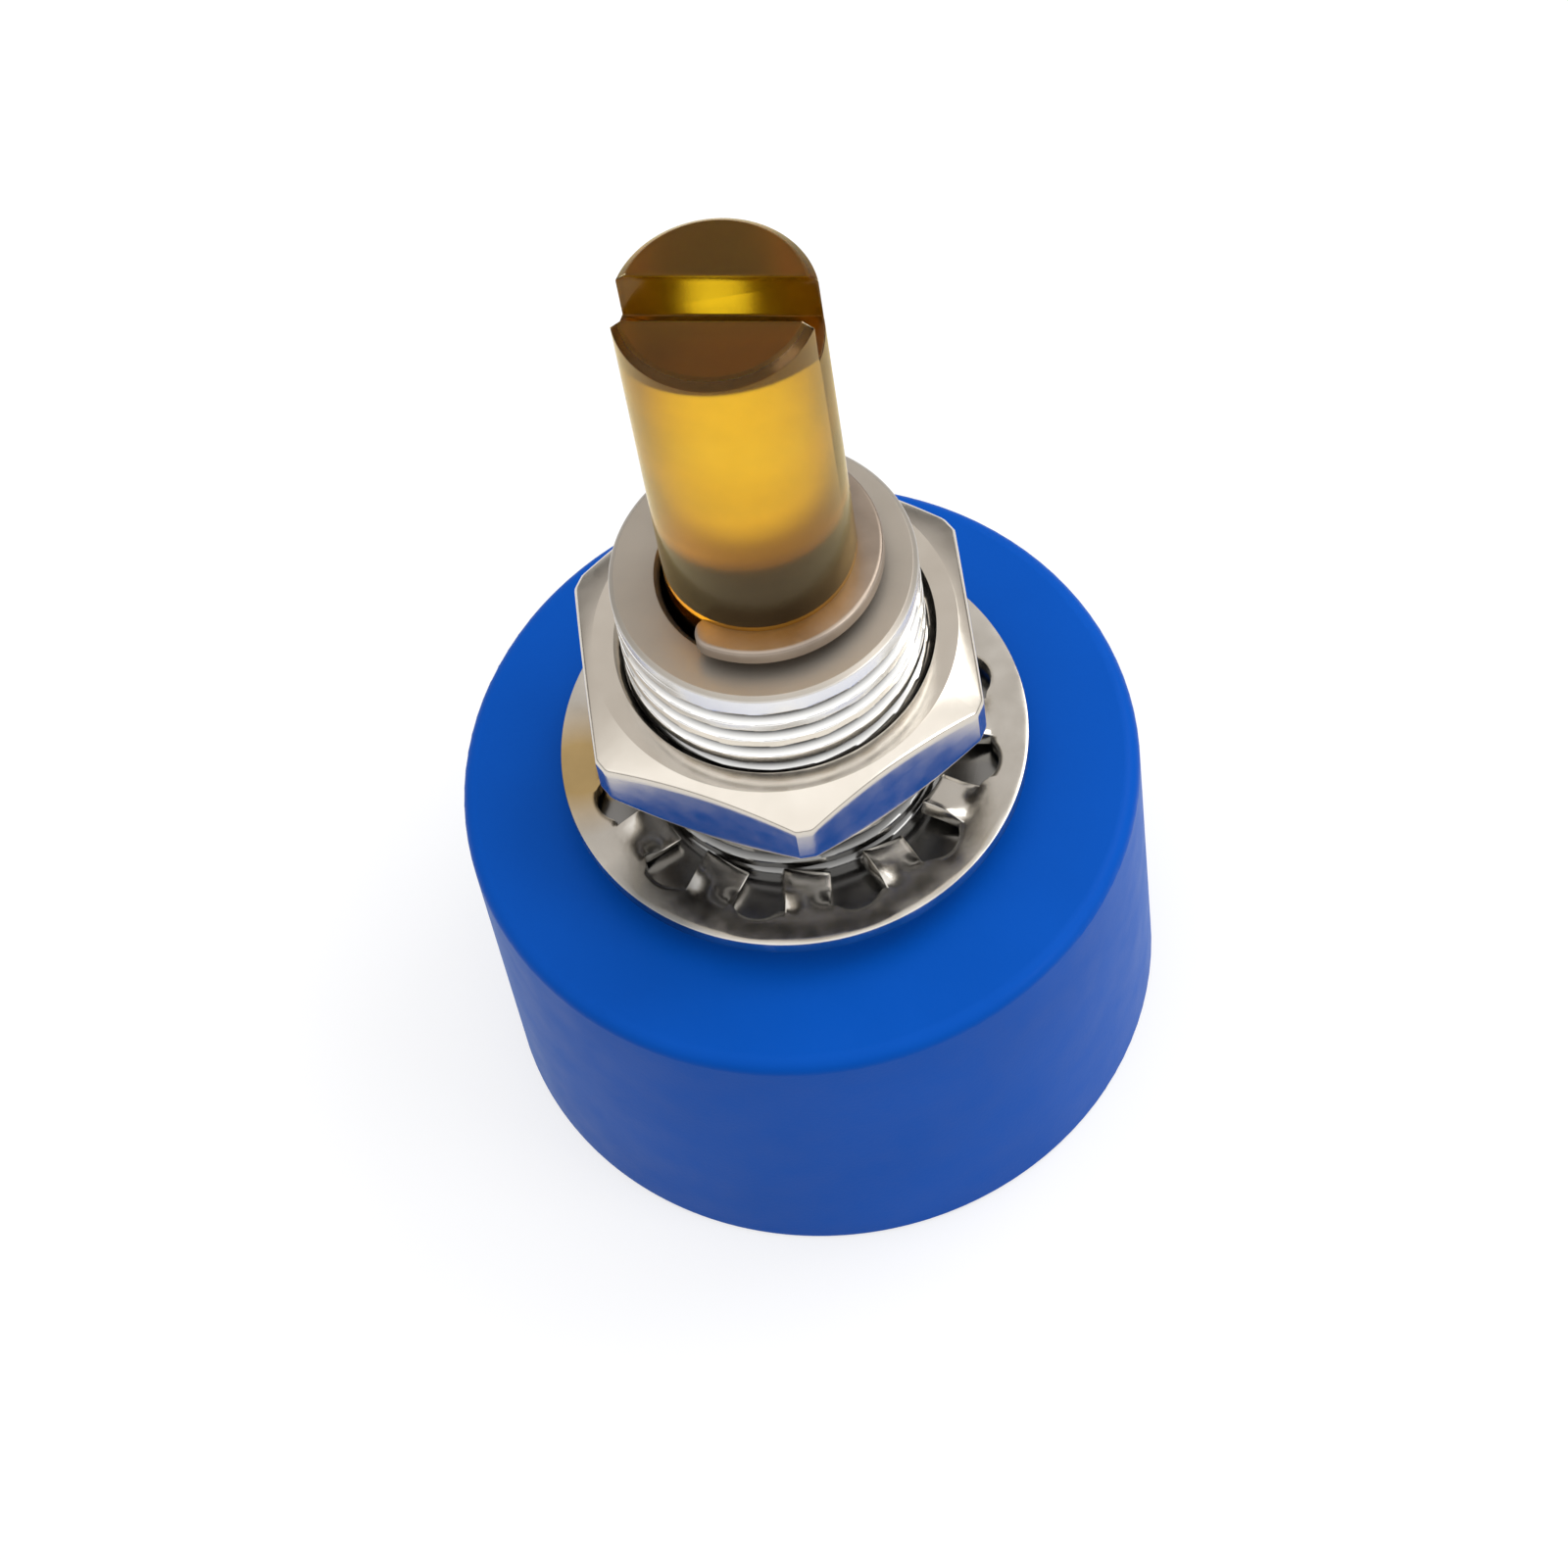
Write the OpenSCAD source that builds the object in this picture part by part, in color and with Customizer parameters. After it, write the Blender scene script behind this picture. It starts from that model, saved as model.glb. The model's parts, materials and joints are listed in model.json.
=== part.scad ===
// Panel rotary potentiometer with a slotted plastic shaft: a round moulded body,
// a threaded metal bushing with its lock washer and hex nut, and inside the body
// a wound resistance ring, a wiper on the rotor, a slip ring and three solder lugs.
//
// The origin is the centre of the rear face and +Z runs along the shaft.
// The wiper rests over the -Y side and the solder lugs leave on the +Y side.

/* [Body] */
// Outside diameter of the moulded body
body_d = 22.2; // [21.6:0.1:27]
// Length from the rear face to the mounting face
body_len = 12.7; // [12.3:0.1:18]
// Thickness of the side wall
wall_t = 1.3; // [1.1:0.05:1.5]
// Thickness of the front wall that holds the bushing
front_t = 2.4; // [1.6:0.1:2.7]
// Radius on the front rim
front_edge_r = 0.5; // [0.2:0.05:0.9]
// Thickness of the rear cover
cover_t = 1.6; // [1.2:0.05:1.9]
// Thickness of the rim round the rear cover
rim_t = 0.7; // [0.5:0.05:0.9]

/* [Bushing] */
// Major diameter of the mounting thread
thread_d = 9.525; // [9:0.025:10]
// Height of the bushing's end above the mounting face
bushing_reach = 12.0; // [10.5:0.1:15]
// Diameter of the shoulder that the lock washer sits on
shoulder_d = 13.8; // [12:0.1:14]
// Height of the shoulder above the mounting face
shoulder_h = 0.95; // [0.6:0.05:1.4]
// Diameter of the neck in the front wall
neck_d = 11.3; // [10.8:0.1:11.8]
// Depth of the two flats that key the neck in the front wall
neck_flat = 0.7; // [0.4:0.05:0.8]
// Diameter of the flange inside the body
flange_d = 13.2; // [12:0.1:13.6]
// Thickness of the flange inside the body
flange_t = 1.0; // [0.8:0.05:1.2]
// Chamfer at the start of the thread
lead_chamfer = 0.15; // [0.1:0.05:0.4]
// Width of the countersink at the mouth of the bore
mouth_w = 0.3; // [0.1:0.05:0.8]
// Depth of the countersink at the mouth of the bore
mouth_h = 0.3; // [0.1:0.05:0.8]

/* [Lock washer] */
// Outside diameter of the lock washer
washer_d = 15.2; // [14.6:0.1:17]
// Sheet thickness of the lock washer
washer_t = 0.55; // [0.4:0.05:0.7]
// Number of internal teeth
tooth_n = 12; // [8:1:14]
// Width of one tooth
tooth_w = 1.45; // [1.1:0.05:1.6]
// Length of one tooth
tooth_len = 1.4; // [1:0.1:1.5]
// Depth of the rounded gaps beyond the teeth's roots
tooth_relief = 0.35; // [0.2:0.05:0.45]
// Twist of each tooth out of the sheet
tooth_twist = 20; // [10:1:28]
// Turn of the lock washer about the shaft
washer_turn = -5; // [-15:1:15]

/* [Hex nut] */
// Width of the nut across its flats
nut_af = 12.2; // [11.8:0.1:14]
// Thickness of the nut
nut_t = 3.0; // [2.6:0.1:3.2]
// Height of the nut's lower face above the mounting face
nut_lift = 5.2; // [2.6:0.1:6.8]
// Angle of the nut's chamfers
nut_chamfer = 30; // [15:1:40]
// Turn of the nut about the shaft
nut_turn = -1.8; // [-30:0.1:30]

/* [Shaft] */
// Diameter of the shaft
shaft_d = 6.0; // [5.6:0.05:6.4]
// Height of the shaft's tip above the mounting face
shaft_reach = 26.0; // [20:0.1:45]
// Chamfer at the tip
tip_chamfer = 0.3; // [0.1:0.05:0.8]
// Width of the screwdriver slot
slot_w = 1.55; // [0.8:0.05:1.8]
// Depth of the screwdriver slot
slot_depth = 1.9; // [1:0.1:3]
// Turn of the screwdriver slot about the shaft
slot_turn = -13; // [-90:1:90]
// Depth of the groove that holds the retaining clip
groove_depth = 0.4; // [0.25:0.05:0.6]
// Diameter of the collar that bears on the thrust washer
collar_d = 8.8; // [8:0.1:10]
// Thickness of the collar
collar_t = 0.8; // [0.6:0.05:0.9]
// Diameter of the stub that carries the rotor hub
stub_d = 4.8; // [4:0.1:5.2]
// Depth of the flat that keys the rotor hub
stub_flat = 0.5; // [0.3:0.05:0.7]
// Diameter of the rear journal
journal_d = 3.0; // [2.4:0.1:3.4]

/* [Retaining clip] */
// Outside diameter of the clip
clip_d = 7.6; // [7.2:0.1:8.6]
// Thickness of the clip
clip_t = 0.6; // [0.4:0.05:0.8]
// Height of the clip above the bushing's end
clip_lift = 0.5; // [0.2:0.05:1]
// Angle left open between the clip's ends
clip_open = 92; // [60:1:120]
// Direction that the clip's opening faces
clip_turn = 180; // [0:1:360]

/* [Rotor] */
// Thickness of the thrust washer
thrust_t = 0.3; // [0.2:0.05:0.4]
// Diameter of the hub's disc
hub_d = 13.6; // [13:0.1:14]
// Thickness of the hub's disc
hub_t = 1.7; // [1.5:0.05:1.8]
// Diameter of the hub's sleeve
sleeve_d = 8.0; // [7.6:0.1:8.6]
// Radial thickness of the slip ring
slip_t = 0.7; // [0.4:0.05:0.8]
// Width of the slip ring
slip_w = 1.2; // [0.8:0.05:1.4]
// Thickness of the wiper's spring sheet
wiper_t = 0.25; // [0.15:0.05:0.3]
// Width of the wiper's arm
wiper_w = 1.5; // [1:0.1:2]
// Diameter of the wiper's contact rod
contact_d = 0.48; // [0.3:0.02:0.5]

/* [Resistance ring] */
// Diameter of the former that carries the winding
former_d = 0.9; // [0.6:0.05:1]
// Diameter over the winding
winding_d = 1.3; // [1.1:0.05:1.4]
// Angle left open between the ends of the ring
ring_open = 25; // [15:1:30]

/* [Stops] */
// Turn of the shaft from its middle to each stop
stop_turn = 160; // [150:1:162]
// Width of the stop lug on the hub, as an angle
hub_lug_angle = 16; // [10:1:18]
// Space left at each stop, as an angle
stop_gap = 0.5; // [0.3:0.1:1]

/* [Solder lugs] */
// Angle between neighbouring lugs
lug_angle = 25; // [24:0.5:34]
// Width of a lug
lug_w = 2.4; // [1.6:0.1:2.6]
// Sheet thickness of a lug
lug_t = 0.5; // [0.3:0.05:0.6]
// Length of a lug outside the body
lug_reach = 5.0; // [3.5:0.1:7]
// Diameter of the eye for the wire
eye_d = 1.3; // [0.8:0.1:1.4]
// Width of the strap from a lug to the end of the ring
strap_w = 0.6; // [0.4:0.05:0.7]

/* [Fits] */
// Radial clearance of the shaft in its bearings
running_gap = 0.05; // [0.02:0.01:0.08]
// Clearance between pieces that are fixed to each other
fixed_gap = 0.03; // [0.01:0.01:0.05]
// Space between faces that only meet lightly
face_gap = 0.05; // [0.03:0.01:0.1]

/* [Hidden] */
$fn = 96;

// Margin by which a cut runs past the solid it opens
cut = 1;
// Space between parts that pass each other inside the body
pass_gap = 0.25;

// Body
body_r = body_d / 2;
cavity_r = body_r - wall_t;
cavity_top = body_len - front_t;
cover_r = body_r - rim_t;
rear_edge_r = 0.25;

// Bushing
thread_r = thread_d / 2;
neck_r = neck_d / 2;
flange_z = cavity_top - flange_t;
bushing_z = body_len + bushing_reach;
bore_r = shaft_d / 2 + running_gap;
mouth_r = bore_r + mouth_w;

// Lock washer: a twisted tooth reaches below the sheet, and seats on the shoulder
washer_r = washer_d / 2;
tooth_gap = 0.2;
tooth_drop = tooth_w / 2 * sin(tooth_twist) + washer_t / 2 * cos(tooth_twist);
washer_z = body_len + shoulder_h + fixed_gap + tooth_drop;
tooth_tip_r = thread_r + tooth_gap;
tooth_root_r = tooth_tip_r + tooth_len;

// Nut: its chamfer cones start on a round face and run just past the corners
nut_z = body_len + nut_lift;
nut_rim = 0.35;
nut_sink = 0.25;
nut_corner_r = nut_af / 2 / cos(30);
nut_face_r = nut_af / 2 - nut_rim;
nut_cone_r = nut_corner_r + 0.2;
nut_cone_h = (nut_cone_r - nut_face_r) * tan(nut_chamfer);
nut_bore_r = thread_r + running_gap;

// Shaft
shaft_r = shaft_d / 2;
shaft_z = body_len + shaft_reach;
clip_z = bushing_z + clip_lift;
groove_r = shaft_r - groove_depth;
thrust_z = flange_z - face_gap - thrust_t;
collar_z = thrust_z - face_gap - collar_t;
stub_r = stub_d / 2;
journal_r = journal_d / 2;

// Rear bearing in the cover: a blind socket in a boss
boss_wall = 1.7;
boss_r = journal_r + boss_wall;
boss_h = 1.2;
socket_depth = 1.0;
socket_z = cover_t - socket_depth;
journal_z = socket_z + pass_gap;

// Rotor
hub_r = hub_d / 2;
hub_top = collar_z - face_gap;
disc_z = hub_top - hub_t;
sleeve_r = sleeve_d / 2;
sleeve_z = cover_t + boss_h + pass_gap;
slip_r = sleeve_r + fixed_gap + slip_t;
wiper_z = disc_z - fixed_gap - wiper_t;
slip_z = wiper_z - pass_gap - slip_w;

// Resistance ring, against the side wall and level with the wiper's contact
winding_r = winding_d / 2;
ring_drop = 0.28;
ring_r = cavity_r - face_gap - winding_r;
ring_z = wiper_z - ring_drop;
track_r = ring_r - winding_r;
contact_r = track_r - face_gap - contact_d / 2;
contact_h = 1.1;
contact_inset = 0.1;
leaf_r = contact_r - contact_d / 2 - wiper_t;

// Stops: both lugs overlap between these two radii
stop_step = 0.5;
hub_lug_r = track_r - pass_gap;
body_lug_r = hub_r + pass_gap;
stop_z = disc_z + stop_step;
body_lug_angle = 360 - 2 * (stop_turn + stop_gap) - hub_lug_angle;

// Solder lugs, which lie on the cover's inner face
lug_z = cover_t;
lug_top = lug_z + lug_t;
lug_end_r = body_r + lug_reach;
head_step = 0.3;
head_len = 0.9;
head_inset = 1.0;
head_w = lug_w + 2 * head_step;
head_r = cavity_r - head_inset;
head_in_r = head_r - head_len;
leaf_t = 0.2;
brush_w = 1.6;
brush_grip = 0.6;

// Straps: a post on the lug's head and an arc under the end of the winding
post_r = head_r + 0.1;
strap_t = 0.3;
strap_lap = 2;
strap_z = ring_z - winding_r - face_gap - strap_t;

// Outline of a round piece from its axis, with rounded rims
module rim_profile(r, h, lower_r, upper_r) {
    square([r - upper_r, h]);
    translate([0, lower_r]) square([r, h - lower_r - upper_r]);
    square([r - lower_r, h - upper_r]);
    translate([r - upper_r, h - upper_r]) circle(upper_r);
    translate([r - lower_r, lower_r]) circle(lower_r);
}

// Ring with a square section
module ring(r_out, r_in, h) {
    difference() {
        cylinder(r = r_out, h = h);
        translate([0, 0, -cut]) cylinder(r = r_in, h = h + 2 * cut);
    }
}

// Part of a ring that is centred on the direction +X
module ring_part(r_out, r_in, h, angle) {
    rotate([0, 0, -angle / 2])
        rotate_extrude(angle = angle)
            translate([r_in, 0]) square([r_out - r_in, h]);
}

// Bar that runs outwards along +X
module radial_bar(r_in, r_out, w, h) {
    translate([r_in, -w / 2, 0]) cube([r_out - r_in, w, h]);
}

// Turns its children to the three places where the lugs leave the body
module at_lugs(places = [-1, 0, 1]) {
    for (place = places)
        rotate([0, 0, 90 + place * lug_angle]) children();
}

// Section of the bushing's neck, flattened on two sides against turning
module neck_section(gap = 0) {
    intersection() {
        circle(neck_r + gap);
        square([2 * neck_r + 2 * cut, 2 * (neck_r - neck_flat + gap)], center = true);
    }
}

// Section of the shaft's stub, flattened on one side to key the hub
module stub_section(gap = 0) {
    difference() {
        circle(stub_r + gap);
        translate([-stub_r - cut, stub_r - stub_flat + gap])
            square([2 * stub_r + 2 * cut, stub_r + cut]);
    }
}

// Moulded cup, open at the rear, with one stop lug inside
module housing() {
    color("#1450b0") {
        difference() {
            rotate_extrude()
                rim_profile(body_r, body_len, rear_edge_r, front_edge_r);
            translate([0, 0, -cut]) cylinder(r = cavity_r, h = cavity_top + cut);
            translate([0, 0, -cut]) cylinder(r = cover_r + fixed_gap, h = cover_t + cut);
            translate([0, 0, cavity_top - cut])
                linear_extrude(front_t + 2 * cut) neck_section(fixed_gap);
            at_lugs() translate([0, 0, -cut])
                radial_bar(cavity_r - cut, body_r + cut, lug_w + 2 * fixed_gap,
                           lug_top + fixed_gap + cut);
        }
        rotate([0, 0, 90]) translate([0, 0, stop_z])
            ring_part(cavity_r + 0.2, body_lug_r, cavity_top + 0.2 - stop_z, body_lug_angle);
    }
}

// Moulded cover with the rear bearing and a tab under each lug
module rear_cover() {
    color("#1a4a9c") difference() {
        union() {
            rotate_extrude() rim_profile(cover_r - fixed_gap, cover_t, rear_edge_r, 0.1);
            at_lugs() radial_bar(cover_r - 1, body_r - 0.1, lug_w, cover_t);
            cylinder(r = boss_r, h = cover_t + boss_h);
        }
        translate([0, 0, socket_z])
            cylinder(r = journal_r + running_gap, h = cover_t + boss_h);
    }
}

// Turned metal bushing: thread, shoulder, keyed neck and inner flange
module bushing() {
    color("#c8c8c6") difference() {
        union() {
            translate([0, 0, body_len]) cylinder(r = shoulder_d / 2, h = shoulder_h);
            translate([0, 0, body_len])
                cylinder(r = thread_r, h = bushing_reach - lead_chamfer);
            translate([0, 0, bushing_z - lead_chamfer])
                cylinder(r1 = thread_r, r2 = thread_r - lead_chamfer, h = lead_chamfer);
            translate([0, 0, cavity_top]) linear_extrude(front_t) neck_section();
            translate([0, 0, flange_z]) cylinder(r = flange_d / 2, h = flange_t);
        }
        translate([0, 0, flange_z - cut]) cylinder(r = bore_r, h = bushing_z);
        translate([0, 0, bushing_z - mouth_h])
            cylinder(r1 = bore_r, r2 = mouth_r + cut * mouth_w / mouth_h, h = mouth_h + cut);
    }
}

// Spring washer with internal teeth, each twisted about its own radius
module lock_washer() {
    pitch = 360 / tooth_n;
    gap_r = tooth_root_r * sin(pitch / 2) - tooth_w / 2;
    color("#b9b4ac") translate([0, 0, washer_z]) rotate([0, 0, washer_turn]) {
        difference() {
            translate([0, 0, -washer_t / 2])
                ring(washer_r, tooth_root_r - tooth_relief, washer_t);
            for (i = [0 : tooth_n - 1])
                rotate([0, 0, (i + 0.5) * pitch])
                    translate([tooth_root_r + tooth_relief - gap_r, 0, -washer_t])
                        cylinder(r = gap_r, h = 2 * washer_t);
        }
        for (i = [0 : tooth_n - 1])
            rotate([0, 0, i * pitch]) rotate([-tooth_twist, 0, 0])
                translate([0, 0, -washer_t / 2])
                    radial_bar(tooth_tip_r, tooth_root_r, tooth_w, washer_t);
    }
}

// Hexagon nut with both faces chamfered and the bore countersunk
module hex_nut() {
    color("#bdb6a8") translate([0, 0, nut_z]) difference() {
        intersection() {
            rotate([0, 0, nut_turn - 90]) cylinder(r = nut_corner_r, h = nut_t, $fn = 6);
            rotate_extrude() polygon([
                [0, 0], [nut_face_r, 0],
                [nut_cone_r, nut_cone_h], [nut_cone_r, nut_t - nut_cone_h],
                [nut_face_r, nut_t], [0, nut_t]
            ]);
        }
        translate([0, 0, -cut]) cylinder(r = nut_bore_r, h = nut_t + 2 * cut);
        for (side = [0, 1])
            translate([0, 0, side * nut_t]) mirror([0, 0, side])
                translate([0, 0, -cut])
                    cylinder(r1 = nut_bore_r + nut_sink + cut, r2 = nut_bore_r,
                             h = nut_sink + cut);
    }
}

// Transparent plastic shaft from the slotted tip to the rear journal
module shaft() {
    color("#e8a81e") difference() {
        union() {
            rotate_extrude() polygon([
                [0, journal_z], [journal_r, journal_z], [journal_r, sleeve_z],
                [stub_r - stub_flat, sleeve_z], [stub_r - stub_flat, collar_z],
                [collar_d / 2, collar_z], [collar_d / 2, collar_z + collar_t],
                [shaft_r, collar_z + collar_t], [shaft_r, clip_z - running_gap],
                [groove_r, clip_z - running_gap], [groove_r, clip_z + clip_t + running_gap],
                [shaft_r, clip_z + clip_t + running_gap], [shaft_r, shaft_z - tip_chamfer],
                [shaft_r - tip_chamfer, shaft_z], [0, shaft_z]
            ]);
            translate([0, 0, sleeve_z])
                linear_extrude(collar_z - sleeve_z) stub_section();
        }
        rotate([0, 0, slot_turn]) translate([0, 0, shaft_z - slot_depth])
            radial_bar(-shaft_r - cut, shaft_r + cut, slot_w, slot_depth + cut);
    }
}

// Open ring with round ends that snaps into the shaft's groove
module retaining_clip() {
    bevel = 0.15;
    r_in = groove_r + fixed_gap;
    r_out = clip_d / 2;
    mid_r = (r_in + r_out) / 2;
    end_r = (r_out - r_in) / 2;
    span = 360 - clip_open - 2 * asin(end_r / mid_r);
    color("#b08c68") translate([0, 0, clip_z]) rotate([0, 0, clip_turn + 180]) {
        rotate([0, 0, -span / 2]) rotate_extrude(angle = span) polygon([
            [r_in, 0], [r_out, 0], [r_out, clip_t - bevel],
            [r_out - bevel, clip_t], [r_in, clip_t]
        ]);
        for (side = [-1, 1])
            rotate([0, 0, side * span / 2]) translate([mid_r, 0, 0]) {
                cylinder(r = end_r, h = clip_t - bevel);
                translate([0, 0, clip_t - bevel])
                    cylinder(r1 = end_r, r2 = end_r - bevel, h = bevel);
            }
    }
}

// Flat washer between the shaft's collar and the bushing's flange
module thrust_washer() {
    color("#d8d4c4") translate([0, 0, thrust_z])
        ring(collar_d / 2 + 0.2, bore_r, thrust_t);
}

// Moulded hub with the disc that carries the wiper, a sleeve and the stop lug
module rotor_hub() {
    color("#26262a") difference() {
        union() {
            translate([0, 0, disc_z]) cylinder(r = hub_r, h = hub_t);
            translate([0, 0, sleeve_z]) cylinder(r = sleeve_r, h = hub_top - sleeve_z);
            rotate([0, 0, -90]) translate([0, 0, stop_z])
                ring_part(hub_lug_r, hub_r - 0.3, hub_top - stop_z, hub_lug_angle);
        }
        translate([0, 0, sleeve_z - cut])
            linear_extrude(hub_top - sleeve_z + 2 * cut) stub_section(fixed_gap);
    }
}

// Metal ring on the hub's sleeve that carries the wiper's current
module slip_ring() {
    color("#d0a848") translate([0, 0, slip_z])
        ring(slip_r, sleeve_r + fixed_gap, slip_w);
}

// Spring sheet under the disc, bent down where it holds the contact
module wiper_arm() {
    color("#c89a54") rotate([0, 0, -90]) {
        translate([0, 0, wiper_z]) {
            ring_part(hub_r - 0.6, sleeve_r + 0.3, wiper_t, 70);
            radial_bar(hub_r - 1, leaf_r + wiper_t, wiper_w, wiper_t);
        }
        translate([0, 0, wiper_z - contact_h + wiper_t])
            radial_bar(leaf_r, leaf_r + wiper_t, wiper_w, contact_h);
    }
}

// Precious-metal rod on the arm that rides on the winding
module wiper_contact() {
    color("#e6cf7a") rotate([0, 0, -90])
        translate([contact_r, 0, wiper_z + wiper_t - contact_h + contact_inset])
            cylinder(d = contact_d, h = contact_h - 2 * contact_inset);
}

// Sweep of a section along the resistance ring, open on the lug side
module along_ring() {
    rotate([0, 0, 90 + ring_open / 2])
        rotate_extrude(angle = 360 - ring_open)
            translate([ring_r, ring_z]) children();
}

// Insulated wire former at the core of the resistance ring
module ring_former() {
    color("#8a3c1c") along_ring() circle(d = former_d);
}

// Fine resistance wire wound round the former, as one closed tube
module ring_winding() {
    color("#a8a49a") along_ring() difference() {
        circle(d = winding_d);
        circle(d = former_d + 2 * fixed_gap);
    }
}

// Spring leaf from the middle lug to the slip ring
module pickoff_brush() {
    color("#c89a54") rotate([0, 0, 90]) translate([0, 0, lug_top + fixed_gap]) {
        radial_bar(slip_r + face_gap, head_in_r + brush_grip, brush_w, leaf_t);
        radial_bar(slip_r + face_gap, slip_r + face_gap + leaf_t, brush_w,
                   slip_z + slip_w - lug_top - fixed_gap);
    }
}

// Flat solder lug with a head inside the wall and an eye outside
module solder_lug(place) {
    eye_r = lug_end_r - lug_w / 2;
    color("#cfcabc") at_lugs([place]) translate([0, 0, lug_z]) difference() {
        union() {
            radial_bar(head_in_r, head_r, head_w, lug_t);
            radial_bar(head_r - 0.1, eye_r, lug_w, lug_t);
            translate([eye_r, 0, 0]) cylinder(d = lug_w, h = lug_t);
        }
        translate([eye_r, 0, -cut]) cylinder(d = eye_d, h = lug_t + 2 * cut);
    }
}

module start_lug() { solder_lug(-1); }
module wiper_lug() { solder_lug(0); }
module end_lug() { solder_lug(1); }

// Strap that joins an outer lug to its end of the winding
module ring_strap(side) {
    end_angle = ring_open / 2 + strap_lap;
    color("#c2824a") rotate([0, 0, 90]) mirror([0, side < 0 ? 1 : 0, 0]) {
        rotate([0, 0, lug_angle]) translate([0, 0, lug_top + fixed_gap])
            radial_bar(post_r - strap_w, post_r, strap_w,
                       strap_z + strap_t - lug_top - fixed_gap);
        translate([0, 0, strap_z]) rotate([0, 0, (lug_angle + end_angle) / 2])
            ring_part(post_r, post_r - strap_w, strap_t, lug_angle - end_angle);
    }
}

module start_strap() { ring_strap(-1); }
module end_strap() { ring_strap(1); }

housing();
rear_cover();
bushing();
lock_washer();
hex_nut();
shaft();
retaining_clip();
thrust_washer();
rotor_hub();
slip_ring();
wiper_arm();
wiper_contact();
ring_former();
ring_winding();
pickoff_brush();
start_lug();
wiper_lug();
end_lug();
start_strap();
end_strap();
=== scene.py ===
# %% [markdown]
# A panel potentiometer, finished for a close look.
# The real part is put together from moulded, turned and stamped pieces, and the frame
# already holds each of them as a solid, at its true place and size. The solids could be
# painted as they are, but they have no thread and few broken edges, which are what
# light finds. So the frame is loaded first and never moved, and the pieces that catch
# the eye are modelled again exactly over their solids.

# %% Load the frame
import json
import math

import bmesh
import bpy
from mathutils import Matrix, Vector

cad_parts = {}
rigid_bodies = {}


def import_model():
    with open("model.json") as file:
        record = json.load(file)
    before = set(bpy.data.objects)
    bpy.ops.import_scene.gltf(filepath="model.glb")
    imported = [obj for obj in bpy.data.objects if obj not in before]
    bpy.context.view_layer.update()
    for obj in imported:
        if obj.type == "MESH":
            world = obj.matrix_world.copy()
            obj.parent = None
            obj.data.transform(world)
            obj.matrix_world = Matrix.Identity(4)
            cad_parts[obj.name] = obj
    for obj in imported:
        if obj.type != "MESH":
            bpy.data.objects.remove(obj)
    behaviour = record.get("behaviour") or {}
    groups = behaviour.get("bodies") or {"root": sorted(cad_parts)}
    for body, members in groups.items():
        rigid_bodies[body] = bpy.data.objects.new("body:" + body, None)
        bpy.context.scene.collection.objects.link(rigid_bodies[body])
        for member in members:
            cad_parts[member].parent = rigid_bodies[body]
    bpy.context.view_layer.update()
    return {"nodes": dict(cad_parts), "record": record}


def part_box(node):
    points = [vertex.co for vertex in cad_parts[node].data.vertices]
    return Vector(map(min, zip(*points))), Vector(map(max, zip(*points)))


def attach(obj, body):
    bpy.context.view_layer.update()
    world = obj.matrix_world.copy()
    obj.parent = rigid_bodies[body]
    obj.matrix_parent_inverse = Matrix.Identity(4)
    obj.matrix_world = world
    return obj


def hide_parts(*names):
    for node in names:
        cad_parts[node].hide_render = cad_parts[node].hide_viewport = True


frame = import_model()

MM = 0.001
nodes = frame["nodes"]

# %% [markdown]
# The camera looks down on the part from the wiper's side and leans a little. It could
# be dragged into place by eye. Here it is set by an aim point, a distance and three
# angles, as a camera on a studio stand would be, so that each can be changed alone.
# A long lens from some way off keeps the round body almost free of perspective.

# %% Camera
CAMERA_AIM = Vector((-0.57, 0.0, 11.92)) * MM
CAMERA_DISTANCE = 159.0 * MM
CAMERA_AZIMUTH = math.radians(0.4)
CAMERA_ELEVATION = math.radians(59.36)
CAMERA_ROLL = math.radians(-10.76)
LENS_MM = 111.4
SENSOR_MM = 36.0
NEAREST = 10 * MM

towards_camera = Vector((
    math.sin(CAMERA_AZIMUTH) * math.cos(CAMERA_ELEVATION),
    -math.cos(CAMERA_AZIMUTH) * math.cos(CAMERA_ELEVATION),
    math.sin(CAMERA_ELEVATION),
))
camera_data = bpy.data.cameras.new("camera")
camera_data.lens = LENS_MM
camera_data.sensor_width = SENSOR_MM
camera_data.clip_start = NEAREST
camera = bpy.data.objects.new("camera", camera_data)
bpy.context.scene.collection.objects.link(camera)
turn = towards_camera.to_track_quat("Z", "Y").to_matrix().to_4x4()
place = Matrix.Translation(CAMERA_AIM + towards_camera * CAMERA_DISTANCE)
camera.matrix_world = place @ turn @ Matrix.Rotation(CAMERA_ROLL, 4, "Z")
bpy.context.scene.camera = camera
print("camera at", [round(value / MM, 1) for value in camera.matrix_world.translation])

# %% [markdown]
# Every piece of a real assembly takes its size from its neighbours. Sizes could be
# typed in again for each piece, but then nothing would fit after a change. They are
# read from the frame wherever it has them: a box gives a round piece's radius and the
# heights of its two ends.

# %% Sizes from the frame
def span(node):
    """Outer radius, bottom and top of a round node."""
    low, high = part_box(node)
    return max(high.x, -low.x), low.z, high.z


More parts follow.
